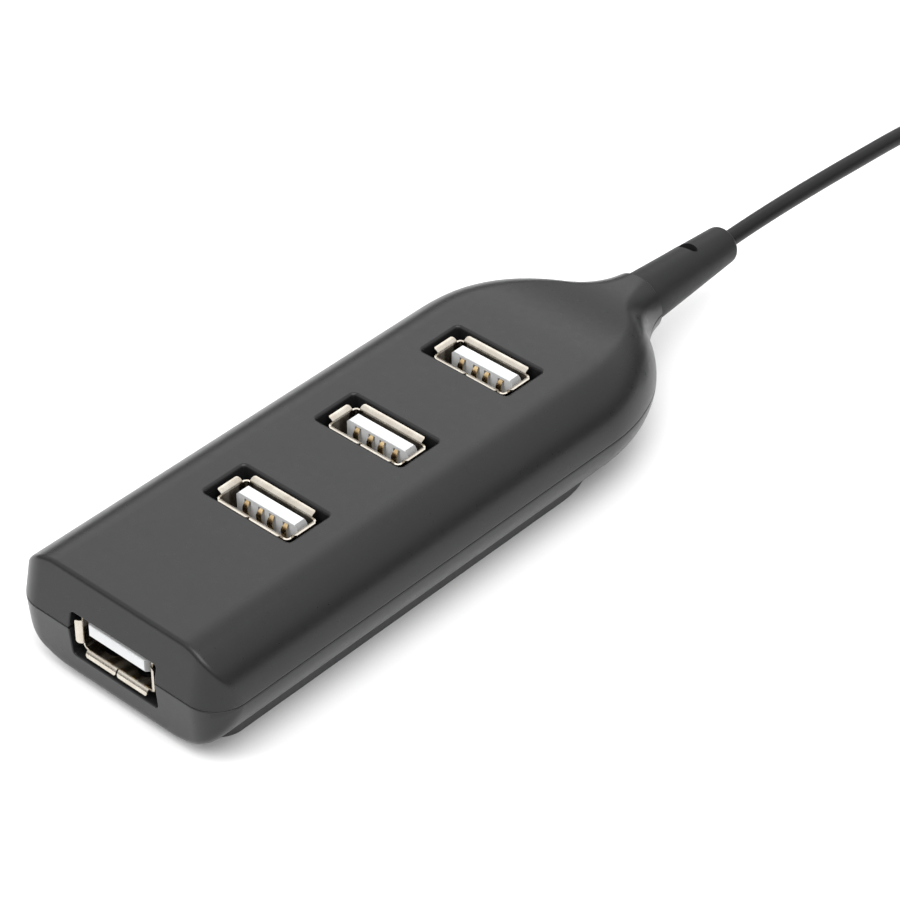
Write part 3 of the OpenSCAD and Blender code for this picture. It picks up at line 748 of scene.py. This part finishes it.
def socket_sheet_stations():
    """Places round the can: position, outward direction, side name and distance along the side."""
    window = [WINDOW_HALF * u for u in (-1, -0.92, -0.72, -0.4, 0, 0.4, 0.72, 0.92, 1)]
    lip = [SEAM_GAP + v for v in LIP_CUTS] + [LIP_END - v for v in LIP_CUTS]
    long_side = {0.0}
    for sign in (1, -1):
        long_side |= {sign * v for v in lip}
        long_side |= {sign * (WINDOW_X + v) for v in window}
    long_side = sorted(long_side)
    short_side = [-SHORT_LIP_END + v for v in LIP_CUTS]
    short_side += [0] + [-v for v in short_side[::-1]]
    r = SHEET_R
    out = []
    for name, angle, along, reach, line in (
        ("right", 0, (0, 1), OUT_L / 2, short_side), ("rear", 90, (-1, 0), OUT_W / 2, long_side),
        ("left", 180, (0, -1), OUT_L / 2, short_side), ("front", 270, (1, 0), OUT_W / 2, long_side),
    ):
        a = math.radians(angle)
        nx, ny = math.cos(a), math.sin(a)
        for t in line:
            out.append((nx * reach + along[0] * t, ny * reach + along[1] * t, nx, ny, name, t))
        half = OUT_W / 2 if name in ("right", "left") else OUT_L / 2
        cx = nx * (reach - r) + along[0] * (half - r)
        cy = ny * (reach - r) + along[1] * (half - r)
        for i in range(7):
            b = a + math.radians(15 * i)
            out.append((cx + r * math.cos(b), cy + r * math.sin(b), math.cos(b), math.sin(b), "corner", 0))
    return out


def lip_range(name, t):
    """The ends of the lip that a place belongs to, or None between lips."""
    if name in ("left", "right"):
        return (-SHORT_LIP_END, SHORT_LIP_END) if abs(t) <= SHORT_LIP_END else None
    if name == "rear":
        return (-LIP_END, LIP_END) if abs(t) <= LIP_END else None
    if name == "front" and SEAM_GAP <= abs(t) <= LIP_END:
        return (SEAM_GAP, LIP_END) if t > 0 else (-LIP_END, -SEAM_GAP)
    return None


def socket_can(solid, depth, place, tongue_lip):
    """Folded steel can: rounded corners, lips rolled outwards, windows with spring fingers."""
    stations = socket_sheet_stations()
    # each level: reach, height and lean of the sheet's outer skin
    levels = [(0, z, 0) for z in (-depth, *WALL_LEVELS)]
    window_bottom, window_top = WINDOW_ROWS
    first_lip = len(levels)
    reach, height = 0, LIP_START
    levels.append((reach, height, 0))
    for run, lean in LIP_BENDS:
        reach += run * math.sin(math.radians(lean))
        height += run * math.cos(math.radians(lean))
        levels.append((reach, height, math.radians(lean)))
    last = len(levels) - 1
    # how far the lip's ends are pulled in on its last rows, which rounds its corners
    pull = {last - 1: 0.05, last: 0.25}
    outer, inner = [], []
    for k, level in enumerate(levels):
        a_row, b_row = [], []
        for x, y, nx, ny, name, t in stations:
            o, z, lean = level
            back_o, back_z = o - SHEET * math.cos(lean), z + SHEET * math.sin(lean)
            if k < first_lip:
                if k == window_top and name in ("rear", "front"):
                    u = abs(abs(t) - WINDOW_X) / WINDOW_HALF
                    if u <= 1:
                        z -= WINDOW_ARCH * (1 - math.sqrt(max(0, 1 - u * u)))
                        back_z = z
            else:
                lip = lip_range(name, t)
                if lip and k in pull:
                    t2 = max(lip[0] + pull[k], min(lip[1] - pull[k], t))
                    x, y = x - ny * (t2 - t), y + nx * (t2 - t)
            a_row.append(place(x + nx * o, y + ny * o, z))
            b_row.append(place(x + nx * back_o, y + ny * back_o, back_z))
        outer.append(solid.add(a_row))
        inner.append(solid.add(b_row))
    n = len(stations)

    def present(k, i):
        name, t = stations[i][4], stations[i][5]
        other, u = stations[(i + 1) % n][4], stations[(i + 1) % n][5]
        same = name == other
        middle = (t + u) / 2
        if k >= first_lip:
            return same and lip_range(name, middle) is not None and (name != "rear" or tongue_lip)
        if same and name in ("rear", "front") and window_bottom <= k < window_top:
            return abs(abs(middle) - WINDOW_X) > WINDOW_HALF
        return True

    thick_sheet(solid, outer, inner, present)

    # spring fingers that reach in through the windows
    for sy in (1, -1):
        for cx in (-WINDOW_X, WINDOW_X):
            ribbon(solid, [(sy * y, z) for y, z in FINGER_PATH], FINGER_WIDTHS, FINGER_T, cx, place)


def ribbon(solid, path, widths, thick, x, place):
    """Flat strip along a path of (y, z) points, with a rounded run of widths."""
    rows = []
    for i, (y, z) in enumerate(path):
        a, b = path[max(i - 1, 0)], path[min(i + 1, len(path) - 1)]
        d = Vector((b[0] - a[0], b[1] - a[1])).normalized()
        nx, nz = -d.y * thick / 2, d.x * thick / 2
        w, e = widths[i] / 2, min(0.05, widths[i] / 4)
        half_ring = [(w, 0.5), (w - e, 1), (-w + e, 1), (-w, 0.5)]
        ring = half_ring + [(-p, -q) for p, q in half_ring]
        rows.append(solid.add([place(x + p, y + q * nx, z + q * nz) for p, q in ring]))
    solid.rows(rows, True)
    solid.face(rows[0])
    solid.face(rows[-1][::-1])


def box(solid, x0, x1, y0, y1, z0, z1, place, e=0.08):
    """Block with chamfered edges."""
    rows = []
    for z, d in ((z0, e), (z0 + e, 0), (z1 - e, 0), (z1, e)):
        loop = [
            (x1 - d, y0 + e), (x1 - d, y1 - e), (x1 - e, y1 - d), (x0 + e, y1 - d),
            (x0 + d, y1 - e), (x0 + d, y0 + e), (x0 + e, y0 + d), (x1 - e, y0 + d),
        ]
        rows.append(solid.add([place(x, y, z) for x, y in loop]))
    solid.rows(rows, True)
    solid.face(rows[0])
    solid.face(rows[-1][::-1])


def tongue(solid, depth, place):
    """Tongue with bevelled ends, softened edges and a slot for each contact."""
    z0, z1 = -depth + 1.0, -TONGUE_SET
    half, e = TONGUE_L / 2, 0.1
    slot_half, slot_top, slot_d = 0.6, z1 - 0.55, 0.42
    xs = {-half, -half + TONGUE_CHAMFER, half - TONGUE_CHAMFER, half}
    for c in CONTACT_X:
        xs |= {c - slot_half, c + slot_half}
    xs = sorted(xs)
    y0, y1 = TONGUE_Y, TONGUE_Y + TONGUE_T

    def squeeze(x, z):
        """Pulls the end columns in where the ends are bevelled."""
        cut = max(0, z - (z1 - TONGUE_CHAMFER))
        return math.copysign(min(abs(x), half - cut), x)

    zs = sorted({z0, slot_top - 5, slot_top, z1 - TONGUE_CHAMFER, z1 - e})
    face_rows = [solid.add([place(squeeze(x, z), y0, z) for x in xs]) for z in zs]
    top_front = solid.add([place(squeeze(x, z1), y0 + e, z1) for x in xs])
    top_back = solid.add([place(squeeze(x, z1), y1 - e, z1) for x in xs])
    back_rows = [solid.add([place(squeeze(x, z), y1, z) for x in xs]) for z in zs]
    for k in range(len(zs) - 1):
        for i in range(len(xs) - 1):
            middle = (xs[i] + xs[i + 1]) / 2
            slot_column = any(abs(middle - c) < slot_half for c in CONTACT_X)
            if not (slot_column and zs[k + 1] <= slot_top + 1e-6):
                low, high = face_rows[k], face_rows[k + 1]
                solid.face([low[i], low[i + 1], high[i + 1], high[i]])
    solid.strip(face_rows[-1], top_front)
    solid.strip(top_front, top_back)
    solid.strip(top_back, back_rows[-1])
    solid.rows(back_rows)
    solid.strip(face_rows[0], back_rows[0])
    around = face_rows + [top_front, top_back] + back_rows[::-1]
    for end in (0, -1):
        solid.face([r[end] for r in around])
    slot_rows = [k for k, z in enumerate(zs) if z <= slot_top + 1e-6]
    for c in CONTACT_X:
        i = min(range(len(xs)), key=lambda q: abs(xs[q] - (c - slot_half)))
        floor_rows = [solid.add([place(x, y0 + slot_d, zs[k]) for x in xs[i:i + 2]]) for k in slot_rows]
        for k in range(len(slot_rows) - 1):
            solid.strip(floor_rows[k], floor_rows[k + 1])
            for end in (0, 1):
                rim = [face_rows[k][i + end], face_rows[k + 1][i + end]]
                solid.face(rim + [floor_rows[k + 1][end], floor_rows[k][end]])
        top = slot_rows[-1]
        solid.face([face_rows[top][i], face_rows[top][i + 1], floor_rows[-1][1], floor_rows[-1][0]])
        solid.face([face_rows[0][i], face_rows[0][i + 1], floor_rows[0][1], floor_rows[0][0]])


def contacts(solid, depth, place, tail):
    """Four springs lying in the tongue's slots; their bent tips press on the plug."""
    y = TONGUE_Y
    path = [
        (y + 0.30, -0.77), (y + 0.05, -0.9), (y - 0.30, -1.25), (y - 0.52, -1.75), (y - 0.50, -2.15),
        (y - 0.30, -2.95), (y - 0.05, -3.95), (y + 0.12, -4.75), (y + 0.12, -depth - tail),
    ]
    widths = [0.5, 0.6, 0.8, 0.95, 1.0, 1.0, 1.0, 1.0, 1.0]
    for x in CONTACT_X:
        ribbon(solid, path, widths, CONTACT_T, x, place)


def fill_socket(label, node, depth, place, stand):
    """Can, tongue and contacts of one socket. A lying socket stands off the board by stand."""
    can = Skin()
    socket_can(can, depth, place, not stand)
    can_piece = piece(f"socket_can_{label}", can.mesh("socket_can", 34), steel, f"socket_shell_{node}")
    can_piece.data.materials.append(steel_painted_shade)
    mouth = place(0, 0, 0)
    inward, across = mouth - place(0, 0, 1), place(0, 1, 0) - mouth
    # faces deep in the can get the darker steel as painted shade; the spring fingers keep the plain steel
    for f in can_piece.data.polygons:
        spot = f.center / MM - mouth
        deep = spot.dot(inward)
        on_finger = FINGER_DEPTHS[0] < deep < FINGER_DEPTHS[1] and abs(spot.x) < FINGER_REACH
        on_finger = on_finger and abs(spot.dot(across)) < OPEN_W / 2 - 0.05
        if deep > PAINTED_SHADE_BELOW and not on_finger:
            f.material_index = 1
    body = Skin()
    tongue(body, depth, place)
    h, w = OPEN_L / 2 - 0.05, OPEN_W / 2 - 0.05
    box(body, -h, h, -w, w, -depth, -depth + 1.2, place)
    if stand:
        low, inset = -OUT_W / 2 - stand, 0.03
        box(body, -h, h, low, -OUT_W / 2 - 0.05, -depth - 1, -5, place)
        box(body, -h + inset, h - inset, low + inset, OUT_W / 2, -depth - 1 + inset, -depth + inset, place)
    piece(f"socket_tongue_{label}", body.mesh("socket_tongue", 30), white_plastic, f"socket_insulator_{node}")
    springs = Skin()
    contacts(springs, depth, place, FRONT_TAIL if stand else TOP_TAIL)
    if stand:
        down = [(TONGUE_Y + 0.12, -depth - FRONT_BEND), (BOARD_TOP - TOP_TAIL - FRONT_Z, -depth - FRONT_BEND)]
        for x in CONTACT_X:
            ribbon(springs, down, [1, 1], CONTACT_T, x, place)
    piece(f"socket_springs_{label}", springs.mesh("socket_springs", 40), gold, f"socket_contacts_{node}")


for number, socket_y in enumerate(SOCKET_Y, 1):
    fill_socket(
        f"top_{number}", number, TOP_DEPTH,
        lambda x, y, z, base=socket_y: Vector((x, base + y, Z_TOP - MOUTH_DEPTH + z)), 0,
    )
FRONT_RIM = Y_FRONT + FRONT_MOUTH_DEPTH
FRONT_STAND = FRONT_Z - OUT_W / 2 - BOARD_TOP
fill_socket(
    "front", "front", FRONT_DEPTH, lambda x, y, z: Vector((x, FRONT_RIM - z, FRONT_Z + y)), FRONT_STAND
)


# ---------------------------------------------------------------- strain relief
def strain_relief_mesh(name):
    """Tapered boot with a softened rim, a flange in the neck and one flex slot on top."""
    solid = Skin()
    r0, r1, tip = 4.05, 2.9, LENGTH / 2 - Y_NECK
    tail_r, flange_r, cord_r, axis = 2.6, 3.5, CORD_D / 2, 0.02
    y_slot, slot_half, slot_d, slot_end = 11.8, 0.75, 1.1, 0.3

    def taper(y):
        return r0 + (r1 - r0) * y / tip

    # the profile as (place along the boot, radius), from inside the neck to the cord
    outline = [
        (-8.2, axis), (-8.2, tail_r - 0.2), (-8.0, tail_r), (-5.2, tail_r), (-5.2, flange_r - 0.1),
        (-5.1, flange_r), (-3.7, flange_r), (-3.6, flange_r - 0.1), (-3.6, tail_r), (0.05, tail_r),
        (0.05, r0 - 0.35), (0.09, r0 - 0.18), (0.2, r0 - 0.06), (0.4, taper(0.4)),
    ]
    outline += [(y, taper(y)) for y in (3, 6, 9, y_slot - slot_half, y_slot + slot_half, 15, tip - 1)]
    for step in range(1, 7):
        a, rim = math.radians(15 * step), 0.9
        outline.append((tip - 1 + rim * math.sin(a), r1 + 0.05 - rim * (1 - math.cos(a))))
    outline += [(tip - 0.1, 1.75), (tip - 0.15, 1.5), (tip - 0.5, cord_r + 0.02)]
    outline += [(tip - 2, cord_r), (tip - 2, axis)]
    count = 72
    first = next(k for k, p in enumerate(outline) if abs(p[0] - (y_slot - slot_half)) < 1e-6)
    slot_columns = range(-9, 5)  # 5 degrees each, from the left of the top to the right of it

    def at(radius, i):
        a = 2 * math.pi * i / count
        return radius * math.sin(a), radius * math.cos(a)

    def bow(i):
        """1 in the middle of the slot, 0 at its two ends."""
        t = 2 * (i - slot_columns[0]) / (len(slot_columns) - 1) - 1
        return math.sqrt(max(0.0, 1 - t * t))

    rows = []
    for k, (y, r) in enumerate(outline):
        points = []
        for i in range(count):
            x, z = at(r, i)
            column = i if i in slot_columns else i - count
            if k in (first, first + 1) and column in slot_columns:
                y_here = y_slot + (y - y_slot) * (slot_end + (1 - slot_end) * bow(column))
            else:
                y_here = y
            points.append((x, Y_NECK + y_here, Z_PART + z))
        rows.append(solid.add(points))
    for k, (a, b) in enumerate(zip(rows, rows[1:])):
        for i in range(count):
            j = (i + 1) % count
            column = i if i in slot_columns else i - count
            if k == first and column in slot_columns[:-1]:
                continue
            solid.face([a[i], a[j], b[j], b[i]])
    solid.face(rows[0])
    solid.face(rows[-1][::-1])

    # the slot: straight walls down to a hollow floor, deepest in the middle
    a = [rows[first][i % count] for i in slot_columns]
    b = [rows[first + 1][i % count] for i in slot_columns]

    def lowered(ids):
        points = []
        for i, at_rim in zip(slot_columns[1:-1], ids[1:-1]):
            rim = solid.points[at_rim]
            x, z = at(slot_d * bow(i), i)
            points.append((rim.x - x, rim.y, rim.z - z))
        return [ids[0]] + solid.add(points) + [ids[-1]]

    low_a, low_b = lowered(a), lowered(b)
    for high, low in ((a, low_a), (low_b, b)):
        solid.face([high[0], high[1], low[1]])
        solid.strip(high[1:-1], low[1:-1])
        solid.face([high[-2], high[-1], low[-2]])
    solid.strip(low_a, low_b)
    return solid.mesh(name, 40)


piece("cable_boot", strain_relief_mesh("cable_boot"), soft_black, "strain_relief")


# ---------------------------------------------------------------- softened pieces
FLAT_ANGLE, BEVEL_ANGLE, SHARP_ANGLE = math.radians(1.5), math.radians(30), math.radians(40)


def softened(name, node, mat, edge, steps=2):
    """The node's shape with its edges rounded off."""

    def edges_over(angle):
        return [e for e in bm.edges if len(e.link_faces) == 2 and e.calc_face_angle(0) > angle]

    bm = bmesh.new()
    bm.from_mesh(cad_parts[node].data)
    bm.transform(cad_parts[node].matrix_world)
    bmesh.ops.remove_doubles(bm, verts=bm.verts, dist=SLIVER * MM)
    bmesh.ops.dissolve_limit(bm, angle_limit=FLAT_ANGLE, verts=bm.verts, edges=bm.edges)
    bmesh.ops.bevel(
        bm, geom=edges_over(BEVEL_ANGLE), offset=edge * MM, segments=steps, profile=0.6,
        affect="EDGES", clamp_overlap=True,
    )
    bmesh.ops.recalc_face_normals(bm, faces=bm.faces)
    for f in bm.faces:
        f.smooth = True
    for e in edges_over(SHARP_ANGLE):
        e.smooth = False
    data = bpy.data.meshes.new(name)
    bm.to_mesh(data)
    bm.free()
    return piece(name, data, mat, node)


softened("board", "circuit_board", board_green, 0.08)
softened("chip_case", "hub_chip", chip_black, 0.12)
softened("chip_leads", "hub_chip_leads", tin, 0.04, 1)
softened("crystal_can", "crystal", tin, 0.18)
softened("capacitor_can", "bulk_capacitor", sleeve_blue, 0.15)
softened("small_capacitors", "ceramic_capacitors", ceramic, 0.08)
softened("small_resistors", "chip_resistors", chip_black, 0.06)
on_cord = [
    softened("cable_strap", "coil_tie", soft_black, 0.3, 3),
    softened("plug_can", "plug_shell", plug_steel, 0.09),
    softened("plug_tongue", "plug_insulator", white_plastic, 0.12),
    softened("plug_pads", "plug_contacts", gold, 0.05, 1),
]


PLUG_X, PLUG_Y, PLUG_Z = 29, 92, 4
GRIP_STEPS = 7


def plug_grip_mesh(name):
    """Overmould with rounded edges and a slight waist, the can's pocket in front, a ribbed boot behind."""
    solid = Skin()

    def loop(y, l, w, r):
        ring = rounded_rect(l, w, r, GRIP_STEPS)
        return solid.add([(PLUG_X + x, PLUG_Y + y, PLUG_Z + z) for x, z in ring])

    def round_loop(y, r):
        return loop(y, 2 * r, 2 * r, r)

    body_l, body_w, corner, waist, edge = 15.5, 8.0, 2.4, 0.5, 0.8
    shoulder_y, boot_y, boot_r, bore_r = 18, 21, 3.0, CORD_D / 2 + 0.02
    # the pocket that holds the can, then the front edge
    rows = [loop(y, 12.02, 4.52, 0.3) for y in (6, 0)]
    for step in range(5):
        a = math.radians(22.5 * step)
        cut, y = edge * (1 - math.sin(a)), edge * (1 - math.cos(a))
        rows.append(loop(y, body_l - 2 * cut, body_w - 2 * cut, corner - cut))
    # the waist
    for i in range(1, 12):
        y = edge + (shoulder_y - edge) * i / 12
        dip = waist * math.sin(math.pi * i / 12) ** 2
        rows.append(loop(y, body_l - 2 * dip, body_w - dip, corner))
    # the shoulder down to the boot
    for i in range(9):
        a = math.radians(90 * i / 8)
        shrink = 1 - math.cos(a)
        y = shoulder_y + (boot_y - shoulder_y) * math.sin(a)
        rows.append(loop(y, body_l - 5 * shrink, body_w - 1.6 * shrink, corner + 0.6 * shrink))
    # the boot's rings and its end round the cord
    boot = [(boot_y + 0.02, boot_r), (21.6, boot_r)]
    for i in range(4):
        y = 22.3 + 1.5 * i
        r = boot_r - 0.8 * (y - boot_y) / 8
        boot += [(y, r), (y + 0.1, r - 0.35), (y + 0.6, r - 0.4), (y + 0.7, r - 0.06)]
    boot += [(28.6, 2.24), (28.8, 2.15), (28.9, 1.95), (28.9, bore_r), (23, bore_r)]
    rows += [round_loop(y, r) for y, r in boot]
    solid.rows(rows, True)
    solid.face(rows[0])
    solid.face(rows[-1][::-1])
    return solid.mesh(name, 35)


on_cord.append(piece("plug_grip", plug_grip_mesh("plug_grip"), soft_black, "plug_overmould"))

# ---------------------------------------------------------------- wires
for node, mat in {
    "wire_power": wire_material("wire_red", (0.5, 0.02, 0.015)),
    "wire_data_minus": wire_material("wire_white", (0.75, 0.75, 0.72)),
    "wire_data_plus": wire_material("wire_green", (0.015, 0.25, 0.06)),
    "wire_ground": wire_material("wire_black", (0.02, 0.02, 0.02)),
}.items():
    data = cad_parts[node].data
    data.materials.clear()
    data.materials.append(mat)

# ---------------------------------------------------------------- studio
FLOOR_HALF, FLOOR_DROP = 6, 0.00002
floor_data = bpy.data.meshes.new("floor")
floor_corners = [(x * FLOOR_HALF, y * FLOOR_HALF, 0) for x, y in ((-1, -1), (1, -1), (1, 1), (-1, 1))]
floor_data.from_pydata(floor_corners, [], [(0, 1, 2, 3)])
floor = bpy.data.objects.new("floor", floor_data)
floor.location.z = -FLOOR_DROP
scene.collection.objects.link(floor)
floor_mat, _, _, shader = material("floor")
shader.inputs["Base Color"].default_value = (0.78, 0.78, 0.78, 1)
shader.inputs["Roughness"].default_value = 0.9
shader.inputs["Specular IOR Level"].default_value = 0.1
floor_data.materials.append(floor_mat)

world = bpy.data.worlds.new("world")
scene.world = world
world.use_nodes = True
world.node_tree.nodes["Background"].inputs["Color"].default_value = (1, 1, 1, 1)
sky, sky_links = world.node_tree.nodes, world.node_tree.links
# a bright sky that goes dark towards the horizon
direction = sky.new("ShaderNodeSeparateXYZ")
sky_links.new(sky.new("ShaderNodeTexCoord").outputs["Generated"], direction.inputs["Vector"])
glow = ramp(sky, sky_links, direction.outputs["Z"], 0.12, 0.55, 0.1, 1.15, "SMOOTHSTEP")
sky_links.new(glow, sky["Background"].inputs["Strength"])


def area_light(name, at, size_x, size_y, power, in_reflections=True):
    """A softbox aimed at the middle of the hub. Some stay out of the glossy reflections."""
    data = bpy.data.lights.new(name, "AREA")
    data.shape = "RECTANGLE"
    data.size, data.size_y, data.energy = size_x, size_y, power
    obj = bpy.data.objects.new(name, data)
    scene.collection.objects.link(obj)
    obj.location = at
    obj.rotation_euler = (-Vector(at)).to_track_quat("-Z", "Y").to_euler()
    obj.visible_glossy = in_reflections


area_light("softbox_back_left", (-1.0, 1.0, 1.0), 1.3, 1.1, 4)
area_light("softbox_front_left", (-1.0, -1.1, 1.1), 1.2, 1.2, 16, False)
area_light("softbox_right", (1.1, -0.3, 0.6), 0.9, 0.6, 3, False)
area_light("softbox_overhead", (0.35, -0.2, 1.3), 1.1, 1.1, 14)

scene.view_settings.view_transform = "Standard"
